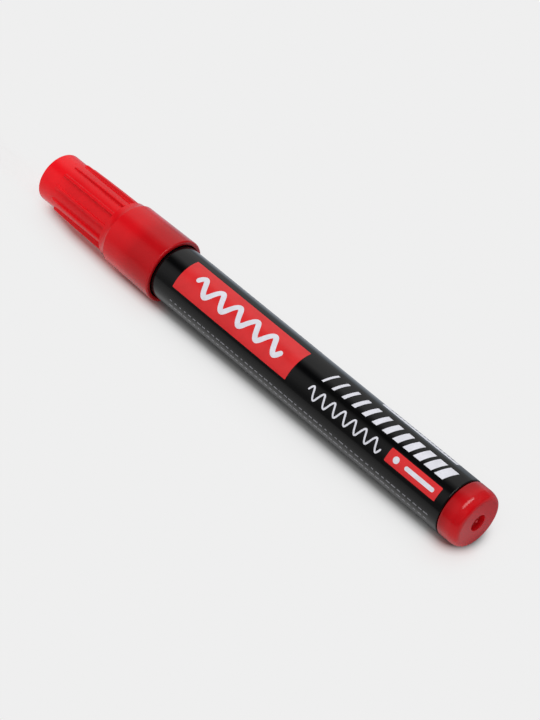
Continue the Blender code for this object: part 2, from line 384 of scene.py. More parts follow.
# %% [markdown]
# ## One surface effect for every moulded plastic
#
# Moulded plastic is never perfectly even. Its gloss is slightly wavy, like orange peel, it has soft clouds
# where it cooled at different speeds, and handling leaves fine lengthwise streaks. Painted textures would
# have to be unwrapped for each piece, and noise fits them all. The plastics share these three effects, so
# they are one node group with its sizes as inputs, in millimetres.

# %% Build the moulded surface group
MM_PER_METRE = 1000.0
STREAK_SQUEEZE = 0.05


def moulded_surface_group():
    effects = ("Peel", "Cloud", "Streak")
    tree, given, made = new_tree(
        "moulded_surface",
        "ShaderNodeTree",
        {f"{effect} Size": "Float" for effect in effects},
        {effect: "Float" for effect in effects},
    )
    place = add_node(tree, "ShaderNodeTexCoord").outputs["Object"]
    drawn_out = add_node(tree, "ShaderNodeMapping", {"Vector": place, "Scale": (STREAK_SQUEEZE, 1.0, 1.0)})
    for effect, where, detail in (("Peel", place, 2.0), ("Cloud", place, 3.0), ("Streak", drawn_out, 4.0)):
        scale = work(tree, "DIVIDE", MM_PER_METRE, given[f"{effect} Size"])
        noise = add_node(tree, "ShaderNodeTexNoise", {"Vector": where, "Scale": scale, "Detail": detail})
        tree.links.new(noise.outputs["Fac"], made[effect])
    return tree


MOULDED_SURFACE = moulded_surface_group()
print("node group", MOULDED_SURFACE.name, "with", len(MOULDED_SURFACE.nodes), "nodes")

# %% [markdown]
# ## The plastics and inks
#
# A finish is a colour, a gloss pair and a little bump. The clouds move the colour up and down a little and
# move between the two levels of gloss. The cap and the plug are thin red mouldings that let light through,
# so they glow where they are hollow and look deeper and darker where dark plastic lies behind them. Light
# that travels inside the plastic could show this, but it is slow and grainy, so this glow and shade are
# painted into their colours, which follow stops along the marker.

# %% Define a moulded plastic
PEEL_DEPTH = 0.0015 * MM
STREAK_SIZE = 0.4
# Noise stays mostly in the first range. Only the strongest streaks come into the second.
NOISE_RANGE = (0.35, 0.65)
STREAK_RANGE = (0.55, 0.75)
CLOUD_SHADES = (0.95, 1.03)
SCUFFS = (0.0, 0.06)


def moulded(name, colour, gloss, peel_size=0.7, cloud_size=9.0, shine=0.5):
    """A moulded plastic. Its colour is plain, or a list of (x in mm, colour) stops along the marker."""
    material, tree, shader = new_finish(name)
    shader.inputs["Specular IOR Level"].default_value = shine
    sizes = {"Peel Size": peel_size, "Cloud Size": cloud_size, "Streak Size": STREAK_SIZE}
    surface = add_node(tree, "ShaderNodeGroup", sizes, node_tree=MOULDED_SURFACE).outputs
    # Stops along the marker carry the cap's and the plug's painted glow and painted shade.
    if isinstance(colour, list):
        place = add_node(tree, "ShaderNodeTexCoord").outputs["Object"]
        along = add_node(tree, "ShaderNodeSeparateXYZ", {0: place}).outputs["X"]
        plain = ramp_over(tree, along, [(x * MM, tone) for x, tone in colour])
    else:
        plain = (*colour, 1)
    shade = between(tree, surface["Cloud"], NOISE_RANGE, CLOUD_SHADES)
    tree.links.new(times(tree, plain, shade), shader.inputs["Base Color"])
    polish = between(tree, surface["Cloud"], NOISE_RANGE, gloss)
    scuff = between(tree, surface["Streak"], STREAK_RANGE, SCUFFS)
    tree.links.new(work(tree, "ADD", polish, scuff), shader.inputs["Roughness"])
    bump = add_node(tree, "ShaderNodeBump", {"Height": surface["Peel"], "Distance": PEEL_DEPTH})
    tree.links.new(bump.outputs["Normal"], shader.inputs["Normal"])
    return material


# %% Make the plastics and inks
GREEN_SHARE = 0.009
BLUE_SHARE = 0.016
RED_SHINE = 0.35
# Places along the marker, in mm, and how bright the red plastic is there, with its painted glow and painted
# shade.
CAP_RED_AND_PAINTED_LIGHT = (
    (-70.1, 0.84), (-67.5, 0.815), (-65, 0.77), (-60, 0.7), (-52, 0.65), (-45, 0.65), (-42, 0.625),
    (-39, 0.61), (-37, 0.55), (-35, 0.47), (-32, 0.445), (-27.8, 0.425),
)
PLUG_RED_AND_PAINTED_LIGHT = ((64.5, 0.3), (67.5, 0.48), (70.1, 0.55))


def reds(tones):
    """Reds along the marker, with small shares of green and blue."""
    return [(x, (level, level * GREEN_SHARE, level * BLUE_SHARE)) for x, level in tones]


CAP_RED = moulded("cap_red_plastic", reds(CAP_RED_AND_PAINTED_LIGHT), (0.16, 0.22), shine=RED_SHINE)
PLUG_RED = moulded("plug_red_plastic", reds(PLUG_RED_AND_PAINTED_LIGHT), (0.11, 0.15), 0.5, 5.0, RED_SHINE)
BARREL_BLACK = moulded("barrel_black_plastic", (0.0012, 0.0012, 0.0014), (0.12, 0.16))
NOSE_BLACK = moulded("nose_black_plastic", (0.014, 0.014, 0.015), (0.32, 0.42))
LINER_NATURAL = moulded("liner_natural_plastic", (0.67, 0.65, 0.61), (0.3, 0.4), 0.5, 4.0)
RED_INK = moulded("red_print_ink", (0.64, 0.024, 0.0265), (0.16, 0.22), 0.3, 3.0)
PALE_INK = moulded("pale_print_ink", (0.67, 0.67, 0.73), (0.2, 0.3), 0.3, 2.0)
GREY_INK = moulded("grey_print_ink", (0.2, 0.2, 0.22), (0.2, 0.3), 0.3, 2.0)
print("plastics and inks:", len(bpy.data.materials))

# %% [markdown]
# ## Fibre for the nib and the ink store
#
# The nib and the reservoir are bundles of fibres that run along the marker. Noise that is stretched along X
# gives long strands, and the same noise drives the colour and the bump, so that light and dark strands also
# stand up and lie down. Real strands as meshes would be far too many for pieces this small.

# %% Make the fibres
FIBRE_ROUGHNESS = 0.85
FIBRE_SQUEEZE = 0.04
FIBRE_DEPTH = 0.03 * MM


def fibre(name, dry, inked, strand_size):
    """Lengthwise strands between a lighter and a more deeply inked colour."""
    material, tree, shader = new_finish(name)
    shader.inputs["Roughness"].default_value = FIBRE_ROUGHNESS
    place = add_node(tree, "ShaderNodeTexCoord").outputs["Object"]
    drawn_out = add_node(tree, "ShaderNodeMapping", {"Vector": place, "Scale": (FIBRE_SQUEEZE, 1.0, 1.0)})
    noise = {"Vector": drawn_out, "Scale": MM_PER_METRE / strand_size, "Detail": 3.0}
    strands = add_node(tree, "ShaderNodeTexNoise", noise).outputs["Fac"]
    shades = {0: between(tree, strands, NOISE_RANGE), 6: (*inked, 1), 7: (*dry, 1)}
    mix = add_node(tree, "ShaderNodeMix", shades, data_type="RGBA")
    tree.links.new(mix.outputs[2], shader.inputs["Base Color"])
    bump = add_node(tree, "ShaderNodeBump", {"Height": strands, "Distance": FIBRE_DEPTH})
    tree.links.new(bump.outputs["Normal"], shader.inputs["Normal"])
    return material


NIB_FIBRE = fibre("inked_nib_fibre", (0.3, 0.02, 0.025), (0.12, 0.008, 0.012), 0.15)
RESERVOIR_FIBRE = fibre("reservoir_fibre", (0.42, 0.03, 0.04), (0.24, 0.012, 0.02), 0.3)
FILM_WRAP = moulded("film_wrap", (0.77, 0.77, 0.79), (0.12, 0.2), 0.6, 3.0)
print("fibres:", NIB_FIBRE.name, RESERVOIR_FIBRE.name)

# %% [markdown]
# ## Turning round pieces
#
# A round piece starts as a half outline that is turned about the axis, like work on a lathe. Real moulded
# corners are never sharp, so each corner of the outline has its own rounding. A Screw and a Bevel modifier
# could do much the same, but one rounding for each corner is plainer in code. A close ring beside each arc
# keeps the smooth shading of the long faces flat.

# %% Round off an outline
ARC_STEPS = 6
RING_GAP = 0.1 * MM


def softened(corners, closed):
    """The outline through (x, radius, rounding) corners, with each corner rounded off."""
    outline = []
    last = len(corners) - 1
    for i, (x, radius, rounding) in enumerate(corners):
        here = Vector((x, radius))
        if rounding == 0 or (not closed and i in (0, last)):
            outline.append((x, radius))
            continue
        before = Vector(corners[i - 1][:2]) - here
        after = Vector(corners[(i + 1) % len(corners)][:2]) - here
        half = before.angle(after) / 2
        reach = rounding / math.tan(half)
        centre = here + (before.normalized() + after.normalized()).normalized() * (rounding / math.sin(half))
        start = here + before.normalized() * reach
        end = here + after.normalized() * reach
        hold = min(rounding / 2, RING_GAP)
        if before.length > reach + hold:
            outline.append(tuple(start + before.normalized() * hold))
        for step in range(ARC_STEPS + 1):
            spoke = (start - centre).slerp(end - centre, step / ARC_STEPS).normalized()
            outline.append(tuple(centre + spoke * rounding))
        if after.length > reach + hold:
            outline.append(tuple(end + after.normalized() * hold))
    return outline


# %% Turn an outline about the axis
SIDES = 240
ON_AXIS = 1e-7
SHARP_ANGLE = math.radians(38)


def plain_mesh(name, shape):
    """A bmesh made into a smooth mesh whose real corners stay sharp."""
    for face in shape.faces:
        face.smooth = True
    mesh = bpy.data.meshes.new(name)
    shape.to_mesh(mesh)
    shape.free()
    mesh.set_sharp_from_angle(angle=SHARP_ANGLE)
    return mesh


def turned(name, outline, closed):
    """A mesh turned from an outline, with a single point where the outline meets the axis."""
    shape = bmesh.new()
    rings = []
    for x, radius in outline:
        if radius < ON_AXIS:
            rings.append([shape.verts.new((x, 0, AXIS_HEIGHT))])
            continue
        ring = []
        for side in range(SIDES):
            angle = math.tau * side / SIDES
            height = AXIS_HEIGHT + radius * math.cos(angle)
            ring.append(shape.verts.new((x, radius * math.sin(angle), height)))
        rings.append(ring)
    pairs = list(zip(rings, rings[1:]))
    if closed:
        pairs.append((rings[-1], rings[0]))
    for first, second in pairs:
        for side in range(SIDES):
            after = (side + 1) % SIDES
            corners = [first[side % len(first)], first[after % len(first)]]
            corners += [second[after % len(second)], second[side % len(second)]]
            shape.faces.new(list(dict.fromkeys(corners)))
    bmesh.ops.recalc_face_normals(shape, faces=shape.faces)
    return plain_mesh(name, shape)


def show_piece(mesh, body, material, stands_for=None):
    """Puts a finished mesh in the scene, on the body that it moves with."""
    piece = bpy.data.objects.new(mesh.name, mesh)
    bpy.context.scene.collection.objects.link(piece)
    mesh.materials.clear()
    mesh.materials.append(material)
    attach(piece, body)
    if stands_for:
        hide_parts(stands_for)
    print(mesh.name, "rides on", body, "with", len(mesh.polygons), "faces")


# %% [markdown]
# ## The barrel
#
# The barrel is a straight tube of black plastic with a high gloss. Its rear edge shows as a thin dark ring
# round the red plug, so both edges get a small rounding that can catch the light. A cylinder could be
# hollowed out for it, but a turned outline has its bore from the start.

# %% Turn the barrel
BARREL_BORE = BARREL_RADIUS - 1.1 * MM
BARREL_EDGE = 0.22 * MM

barrel_outline = softened(
    [
        (BARREL_REAR, BARREL_BORE, 0),
        (BARREL_REAR, BARREL_RADIUS, BARREL_EDGE),
        (BARREL_FRONT, BARREL_RADIUS, BARREL_EDGE),
        (BARREL_FRONT, BARREL_BORE, 0),
    ],
    True,
)
show_piece(turned("barrel", barrel_outline, True), "marker", BARREL_BLACK, "barrel_tube")

# %% [markdown]
# ## The end plug
#
# A red moulding closes the rear of the barrel. Its side stays straight for half its length and then bends in
# on a large arc, which a small arc joins to the flat face. One bevel would look too even, so both arcs are
# drawn. Two arcs that touch share a tangent, so the centre of the small one follows from the two radii. The
# rounded front edge shows as a thin dark groove at the barrel's rim. In the middle of the face is a round
# dimple with the small nub where the plastic entered the mould.

# %% Choose the plug's sizes
PLUG_FRONT = BARREL_REAR + 0.05 * MM
PLUG_ROLL_LENGTH = 2.5 * MM
PLUG_ROLL = 4.4 * MM
FACE_EDGE = 1.1 * MM
FRONT_EDGE = 0.6 * MM
DIMPLE_RADIUS = 2.05 * MM
DIMPLE_DEPTH = 1.4 * MM
DIMPLE_EDGE = 0.2 * MM
DIMPLE_FLOOR_RADIUS = DIMPLE_RADIUS * 0.86
NUB_RADIUS = 0.36 * MM
NUB_FOOT_RADIUS = NUB_RADIUS * 1.3
NUB_HEIGHT = 0.9 * MM
SPIGOT_RADIUS = BARREL_BORE - 0.3 * MM
SPIGOT_WALL = 1.2 * MM
PLUG_WEB = 1.6 * MM
print("the plug's spigot is", round((PLUG_FRONT - SPIGOT_FRONT) / MM, 2), "mm long")

# %% Turn the end plug
ROLL_STEPS = 12
FACE_EDGE_STEPS = 6


def arc(centre, radius, first, last, steps):
    """Points on an arc about a centre, between two angles from straight up towards the rear."""
    points = []
    for step in range(steps + 1):
        angle = first + (last - first) * step / steps
        points.append((centre[0] + radius * math.sin(angle), centre[1] + radius * math.cos(angle)))
    return points


dimple_floor = PLUG_REAR - DIMPLE_DEPTH
plug_hollow_end = dimple_floor - PLUG_WEB
roll_start = PLUG_REAR - PLUG_ROLL_LENGTH
roll_centre = (roll_start, PLUG_RADIUS - PLUG_ROLL)
meeting = math.asin((PLUG_ROLL_LENGTH - FACE_EDGE) / (PLUG_ROLL - FACE_EDGE))
edge_centre = arc(roll_centre, PLUG_ROLL - FACE_EDGE, meeting, meeting, 1)[0]
plug_inside = [
    (plug_hollow_end, 0, 0),
    (plug_hollow_end, SPIGOT_RADIUS - SPIGOT_WALL, 0),
    (SPIGOT_FRONT, SPIGOT_RADIUS - SPIGOT_WALL, 0),
    (SPIGOT_FRONT, SPIGOT_RADIUS, 0.3 * MM),
    (PLUG_FRONT, SPIGOT_RADIUS, 0),
    (PLUG_FRONT, PLUG_RADIUS, FRONT_EDGE),
    (roll_start - RING_GAP, PLUG_RADIUS, 0),
]
plug_roll = arc(roll_centre, PLUG_ROLL, 0, meeting, ROLL_STEPS)
plug_roll += arc(edge_centre, FACE_EDGE, meeting, math.pi / 2, FACE_EDGE_STEPS)[1:]
plug_face = [
    (PLUG_REAR, edge_centre[1] - RING_GAP, 0),
    (PLUG_REAR, DIMPLE_RADIUS + 0.3 * MM, 0),
    (PLUG_REAR, DIMPLE_RADIUS, DIMPLE_EDGE),
    (dimple_floor, DIMPLE_FLOOR_RADIUS, 0.3 * MM),
    (dimple_floor, NUB_FOOT_RADIUS, 0.1 * MM),
    (dimple_floor + NUB_HEIGHT, NUB_RADIUS, 0.12 * MM),
    (dimple_floor + NUB_HEIGHT, 0, 0),
]
plug_outline = softened(plug_inside, False) + plug_roll + softened(plug_face, False)
show_piece(turned("plug", plug_outline, False), "marker", PLUG_RED, "end_plug")

# %% [markdown]
# ## The nose and the nib
#
# Under the cap, a black nose section plugs the front of the barrel and holds the nib. The nib is a rod of
# pressed fibre with a bullet tip. Both are seen when the cap is pulled off. The tip could be half a
# stretched sphere. As a quarter of an ellipse in the outline, it stays one mesh with its rod.

# %% Turn the nose
COLLAR_FRONT = BARREL_FRONT - 1.5 * MM
COLLAR_REAR = BARREL_FRONT - 0.3 * MM
NECK_RADIUS = LINER_RADIUS - 1.1 * MM
TAPER_END = NOSE_FRONT + 5.0 * MM
NIB_HOLE = NIB_RADIUS + 0.3 * MM
NOSE_TIP_RADIUS = NIB_HOLE + 0.8 * MM
NOSE_CAVITY = SPIGOT_RADIUS - 1.1 * MM
CAVITY_FRONT = COLLAR_FRONT + 1.5 * MM

nose_outline = softened(
    [
        (NOSE_REAR, SPIGOT_RADIUS, 0.2 * MM),
        (COLLAR_REAR, SPIGOT_RADIUS, 0),
        (COLLAR_REAR, COLLAR_RADIUS, 0.12 * MM),
        (COLLAR_FRONT, COLLAR_RADIUS, 0.2 * MM),
        (COLLAR_FRONT, NECK_RADIUS, 0.25 * MM),
        (TAPER_END, NECK_RADIUS, 2.0 * MM),
        (NOSE_FRONT, NOSE_TIP_RADIUS, 0.2 * MM),
        (NOSE_FRONT, NIB_HOLE, 0.15 * MM),
        (CAVITY_FRONT, NIB_HOLE, 0),
        (CAVITY_FRONT, NOSE_CAVITY, 0),
        (NOSE_REAR, NOSE_CAVITY, 0),
    ],
    True,
)
show_piece(turned("nose", nose_outline, True), "marker", NOSE_BLACK, "nose_section")

# %% Turn the nib
NIB_TIP_LENGTH = 3.4 * MM
NIB_STEPS = 16

nib_outline = [(NIB_REAR, 0), (NIB_REAR, NIB_RADIUS), (NIB_TIP + NIB_TIP_LENGTH + 0.2 * MM, NIB_RADIUS)]
for step in range(NIB_STEPS + 1):
    angle = math.pi / 2 * step / NIB_STEPS
    x = NIB_TIP + NIB_TIP_LENGTH * (1 - math.sin(angle))
    nib_outline.append((x, NIB_RADIUS * math.cos(angle)))
show_piece(turned("nib", nib_outline, False), "marker", NIB_FIBRE, "fibre_nib")

# %% [markdown]
# ## The ink store
#
# The reservoir and its thin film fill the barrel and are never seen unless the marker is cut open. New
# meshes could be turned for them too, but their solids already have the right shape, so they only get their
# finishes.

# %% Finish the hidden pieces
for node, material in (("ink_reservoir", RESERVOIR_FIBRE), ("reservoir_film", FILM_WRAP)):
    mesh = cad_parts[node].data
    mesh.materials.clear()
    mesh.materials.append(material)
    print(node, "has the finish", material.name)

# %% [markdown]
# ## The cap liner
#
# A soft inner cup in natural plastic seals round the nose and stops the nib from drying out. It is fixed in
# the cap and moves with it. A Solidify modifier could give a single wall its thickness, but the outline can
# hold the inside and the outside at once, with a rounding for each.

# %% Turn the cap liner
LINER_WALL = 0.8 * MM

liner_outline = softened(
    [
        (LINER_END + LINER_WALL, 0, 0),
        (LINER_END + LINER_WALL, LINER_RADIUS - LINER_WALL, 0.5 * MM),
        (LINER_RIM, LINER_RADIUS - LINER_WALL, 0.2 * MM),
        (LINER_RIM, LINER_RADIUS, 0.2 * MM),
        (LINER_END, LINER_RADIUS, 0.5 * MM),
        (LINER_END, 0, 0),
    ],
    False,
)
show_piece(turned("liner", liner_outline, False), "cap", LINER_NATURAL, "cap_liner")

# %% [markdown]
# ## Copies round the axis
#
# The cap has twelve equal ribs, so one slice of a twelfth is modelled and the rest follow a rule. An Array
# modifier could turn the copies about an empty object. A Geometry Nodes tree makes the rule plainer: points,
# one copy of the slice on each, turned by its share of a circle, then joined into one closed shell at the
# height of the axis.

# %% Build the tree that copies round the axis


def copies_round_axis_tree():
    tree, given, made = new_tree(
        "copies_round_axis",
        "GeometryNodeTree",
        {
            "Slice": "Geometry",
            "Count": "Int",
            "First Angle": "Float",
            "Axis Height": "Float",
            "Weld": "Float",
            "Finish": "Material",
        },
        {"Ring": "Geometry"},
    )
    points = add_node(tree, "GeometryNodePoints", {"Count": given["Count"]})
    number = add_node(tree, "GeometryNodeInputIndex").outputs[0]
    share = work(tree, "DIVIDE", math.tau, given["Count"])
    angle = work(tree, "MULTIPLY_ADD", number, share, given["First Angle"])
    about_x = add_node(tree, "ShaderNodeCombineXYZ", {"X": angle})
    rotation = add_node(tree, "FunctionNodeEulerToRotation", {0: about_x})
    placing = {"Points": points, "Instance": given["Slice"], "Rotation": rotation}
    copies = add_node(tree, "GeometryNodeInstanceOnPoints", placing)
    whole = add_node(tree, "GeometryNodeRealizeInstances", {0: copies})
    welded = add_node(tree, "GeometryNodeMergeByDistance", {"Geometry": whole, "Distance": given["Weld"]})
    lift = add_node(tree, "ShaderNodeCombineXYZ", {"Z": given["Axis Height"]})
    raised = add_node(tree, "GeometryNodeTransform", {"Geometry": welded, "Translation": lift})
    finished = add_node(tree, "GeometryNodeSetMaterial", {"Geometry": raised, "Material": given["Finish"]})
    tree.links.new(finished.outputs[0], made["Ring"])
    return tree


COPIES_ROUND_AXIS = copies_round_axis_tree()
print("tree", COPIES_ROUND_AXIS.name, "with", len(COPIES_ROUND_AXIS.nodes), "nodes")

# %% Helpers that run a tree


def with_tree(mesh, tree, values):
    """A helper object whose Geometry Nodes modifier has its named inputs set."""
    helper = bpy.data.objects.new(mesh.name + "_helper", mesh)
    bpy.context.scene.collection.objects.link(helper)
    modifier = helper.modifiers.new(tree.name, "NODES")
    modifier.node_group = tree
    for item in tree.interface.items_tree:
        if item.in_out == "INPUT" and item.name in values:
            modifier[item.identifier] = values[item.name]
    return helper


def made_plain(helper, name):
    """The plain mesh that a helper's modifiers make, as a bmesh. The helper is removed."""
    graph = bpy.context.evaluated_depsgraph_get()
    mesh = bpy.data.meshes.new_from_object(helper.evaluated_get(graph))
    bpy.data.objects.remove(helper, do_unlink=True)
    mesh.name = name
    shape = bmesh.new()
    shape.from_mesh(mesh)
    return shape


# %% [markdown]
# ## The cap
#
# The cap's outline runs from the middle of its closed end, along the inside, round the lip and back along
# the skirt, the flare and the grip. The flare is a hollow curve that is steepest at the shoulder, so it
# catches light in a thin line there. Ribs could be joined on with a Boolean modifier, but the ragged faces
# it leaves show in gloss. So each column of the slice follows the outline, and near the middle line the
# columns also rise over the rib. The rib starts with a low round nose, rises a little, and ends against the
# step where the flare begins, just under its edge, so the grooves between the ribs stop in a clean line.

# %% Choose the cap's sizes
SHOULDER = LIP - 16.0 * MM
GRIP_RADIUS = 6.4 * MM
GRIP_BORE = 5.5 * MM
END_WALL = 1.2 * MM
END_EDGE = 0.35 * MM
END_RIM_RADIUS = GRIP_RADIUS * 0.86
DISH_RADIUS = GRIP_RADIUS * 0.8
END_DISH = 0.25 * MM
SHOULDER_RADIUS = 8.0 * MM
SHOULDER_EDGE = 0.04 * MM
FLARE_START = SHOULDER - 2.3 * MM
FLARE_RADIUS = 7.45 * MM
STEP_FOOT = FLARE_START - 0.15 * MM
CAP_STEP = SHOULDER + 1.2 * MM
SKIRT_BORE = 7.3 * MM
MOUTH_RADIUS = 7.18 * MM
LIP_EDGE = 0.45 * MM
RIB_START = CAP_END + 5.3 * MM
RIB_NOSE = 0.8 * MM
NOSE_END = RIB_START + RIB_NOSE
RIB_REAR = FLARE_START - 0.5 * MM
print("the ribs are", round((RIB_REAR - RIB_START) / MM, 2), "mm long")

# %% Draw the cap's outline
RIB_ROWS = 24
NOSE_ROWS = 10
FLARE_ROWS = 10
STEEP = 0.3 * MM


def falling_shares(rows):
    """Shares from just under 1 to just over 0."""
    return [1 - row / rows for row in range(1, rows)]


def with_rows_between(outline, low, high, count):
    """The outline with extra points on each steep stretch between two radii."""
    thick = []
    for first, second in zip(outline, outline[1:]):
        thick.append(first)
        lower, upper = sorted((first[1], second[1]))
        if upper - lower > STEEP and low < lower and upper < high:
            for row in range(1, count):
                thick.append(tuple(Vector(first).lerp(Vector(second), row / count)))
    thick.append(outline[-1])
    return thick


flare = []
for share in falling_shares(FLARE_ROWS):
    rise = (SHOULDER_RADIUS - FLARE_RADIUS) * share * share
    flare.append((FLARE_START + (SHOULDER - FLARE_START) * share, FLARE_RADIUS + rise, 0))
inside_to_grip = [
    (CAP_END + END_WALL, 0, 0),
    (CAP_END + END_WALL, GRIP_BORE, 0.3 * MM),
    (CAP_STEP, GRIP_BORE, 0.15 * MM),
    (CAP_STEP, SKIRT_BORE, 0.15 * MM),
    (LIP, MOUTH_RADIUS, 0.25 * MM),
    (LIP, LIP_RADIUS, LIP_EDGE),
    (SHOULDER, SHOULDER_RADIUS, SHOULDER_EDGE),
    *flare,
    (FLARE_START, FLARE_RADIUS, 0.1 * MM),
    (STEP_FOOT, GRIP_RADIUS, 0.15 * MM),
    (RIB_REAR, GRIP_RADIUS, 0),
]
closed_end = [
    (RIB_START, GRIP_RADIUS, 0),
    (CAP_END, GRIP_RADIUS, END_EDGE),
    (CAP_END, END_RIM_RADIUS, 0.2 * MM),
    (CAP_END + END_DISH, DISH_RADIUS, 0.3 * MM),
    (CAP_END + END_DISH, 0, 0),
]
cap_outline = with_rows_between(softened(inside_to_grip, False), GRIP_RADIUS, SHOULDER_RADIUS, FLARE_ROWS)
for share in falling_shares(RIB_ROWS) + [0]:
    cap_outline.append((NOSE_END + (RIB_REAR - NOSE_END) * share, GRIP_RADIUS))
for share in falling_shares(NOSE_ROWS):
    cap_outline.append((RIB_START + RIB_NOSE * share * share, GRIP_RADIUS))
cap_outline += softened(closed_end, False)
print("cap outline:", len(cap_outline), "points")

# %% Shape the rib
RIB_TOPS = (6.85 * MM, 7.2 * MM)
RIB_MERGE = 0.05 * MM
RIB_FADE = 1.0 * MM
RIB_NOSE_WIDTH = 0.45
TINY = 1e-6


def nose_share(x):
    """How far the rounded nose of the rib has grown at this place, from 0 to 1."""
    into_nose = min(1, max(0, (x - RIB_START) / RIB_NOSE))
    return math.sqrt(1 - (1 - into_nose) ** 2)


def rib_height(x, radius):
    """How far the rib stands above the outline at this place."""
    if radius < GRIP_RADIUS - TINY or not RIB_START < x < SHOULDER:
        return 0
    along = min(1, (x - RIB_START) / (FLARE_START - RIB_START))
    top = RIB_TOPS[1] - (RIB_TOPS[1] - RIB_TOPS[0]) * (1 - along) ** 2
    room = top - radius
    height = (room + math.hypot(room, RIB_MERGE)) / 2
    height *= min(1, (SHOULDER - x) / RIB_FADE)
    return height * nose_share(x)


print("the rib stands", round(rib_height(RIB_REAR, GRIP_RADIUS) / MM, 2), "mm high at its rear")

# %% Model one slice of the cap
RIB_COUNT = 12
PANEL_COLUMNS = 8
# Half of the rib's section: how far a column lies from the middle line, in mm, and its share of the height.
RIB_SECTION = (
    (0, 1), (0.14, 0.998), (0.22, 0.985), (0.28, 0.95), (0.32, 0.88), (0.345, 0.78), (0.36, 0.65),
    (0.385, 0.42), (0.41, 0.22), (0.44, 0.1), (0.49, 0.03), (0.56, 0),
)


def half_columns(x):
    """The columns on one side of a rib, as (angle, share of the rib's height)."""
    half_pitch = math.pi / RIB_COUNT
    width = RIB_NOSE_WIDTH + (1 - RIB_NOSE_WIDTH) * nose_share(x)
    columns = [(offset * MM * width / GRIP_RADIUS, share) for offset, share in RIB_SECTION]
    foot = columns[-1][0]
    for column in range(1, PANEL_COLUMNS + 1):
        columns.append((foot + (half_pitch - foot) * column / PANEL_COLUMNS, 0))
    return columns


def cap_slice():
    """A twelfth of the cap, with its rib along the middle."""
    vertices = []
    faces = []
    for x, radius in cap_outline:
        right = half_columns(x)
        left = [(-angle, share) for angle, share in reversed(right[1:])]
        columns = left + right
        height = rib_height(x, radius)
        for angle, share in columns:
            reach = radius + height * share
            vertices.append((x, -reach * math.sin(angle), reach * math.cos(angle)))
    width = len(columns)
    for row in range(len(cap_outline) - 1):
        for column in range(width - 1):
            corner = row * width + column
            faces.append((corner, corner + width, corner + width + 1, corner + 1))
    mesh = bpy.data.meshes.new("cap_slice")
    mesh.from_pydata(vertices, [], faces)
    return mesh


one_slice = cap_slice()
print("one slice of the cap has", len(one_slice.polygons), "faces")

# %% Copy the slice round the axis
RIB_FIRST_ANGLE = math.radians(20)
WELD = 0.001 * MM

cap_values = {
    "Count": RIB_COUNT,
    "First Angle": RIB_FIRST_ANGLE,
    "Axis Height": AXIS_HEIGHT,
    "Weld": WELD,
    "Finish": CAP_RED,
}
cap_shape = made_plain(with_tree(one_slice, COPIES_ROUND_AXIS, cap_values), "cap_copies")
bmesh.ops.recalc_face_normals(cap_shape, faces=cap_shape.faces)
print("open edges in the cap:", sum(not edge.is_manifold for edge in cap_shape.edges))
show_piece(plain_mesh("cap_moulding", cap_shape), "cap", CAP_RED, "cap_shell")

# %% [markdown]
# ## Wrapping flat artwork round the barrel
#
# Print is a thin layer of ink. Each mark is drawn flat, with its length along X and its height as an arc,
# and a Geometry Nodes tree bends it round the barrel: the arc becomes an angle. A little thickness then
# makes it a closed skin that stands just proud of the plastic. Print could also be painted in the barrel's
# material, but a skin keeps its edges crisp from close by and has its own gloss.

# %% Build the tree that wraps print
INK_LIFT = 0.016 * MM
INK_THICKNESS = 0.03 * MM
BARREL_SIZES = {"Barrel Radius": BARREL_RADIUS, "Axis Height": AXIS_HEIGHT}
WRAP_INPUTS = {"Barrel Radius": "Float", "Axis Height": "Float", "Lift": "Float", "Finish": "Material"}


def wrap_round_barrel_group():
    tree, given, made = new_tree(
        "wrap_round_barrel",
        "GeometryNodeTree",
        {"Flat Print": "Geometry", **WRAP_INPUTS},
        {"Wrapped Print": "Geometry"},
    )
    drawn = add_node(tree, "GeometryNodeInputPosition")
    flat = add_node(tree, "ShaderNodeSeparateXYZ", {0: drawn}).outputs
    angle = work(tree, "DIVIDE", flat["Y"], given["Barrel Radius"])
    reach = work(tree, "ADD", given["Barrel Radius"], given["Lift"])
    across = work(tree, "MULTIPLY", reach, work(tree, "SINE", angle))
    sideways = work(tree, "MULTIPLY", across, -1.0)
    above = work(tree, "MULTIPLY", reach, work(tree, "COSINE", angle))
    upward = work(tree, "ADD", above, given["Axis Height"])
    place = add_node(tree, "ShaderNodeCombineXYZ", {"X": flat["X"], "Y": sideways, "Z": upward})
    whole = add_node(tree, "GeometryNodeRealizeInstances", {0: given["Flat Print"]})
    bent = add_node(tree, "GeometryNodeSetPosition", {"Geometry": whole, "Position": place})
    outward = add_node(tree, "GeometryNodeFlipFaces", {0: bent})
    inked = add_node(tree, "GeometryNodeSetMaterial", {"Geometry": outward, "Material": given["Finish"]})
    tree.links.new(inked.outputs[0], made["Wrapped Print"])
    return tree


WRAP_ROUND_BARREL = wrap_round_barrel_group()
print("tree", WRAP_ROUND_BARREL.name, "with", len(WRAP_ROUND_BARREL.nodes), "nodes")

# %% Helpers for flat marks
CORNER_STEPS = 6
NARROWEST = 0.01


def end_steps(length, corner, step):
    """Distances along a mark, close together where its corners are rounded."""
    quarter = math.pi / 2
    rounded = [corner * (1 - math.cos(quarter * i / CORNER_STEPS)) for i in range(CORNER_STEPS + 1)]
    count = max(1, round((length - 2 * corner) / step))
    middle = [corner + (length - 2 * corner) * i / count for i in range(1, count)]
    return rounded + middle + [length - distance for distance in reversed(rounded)]


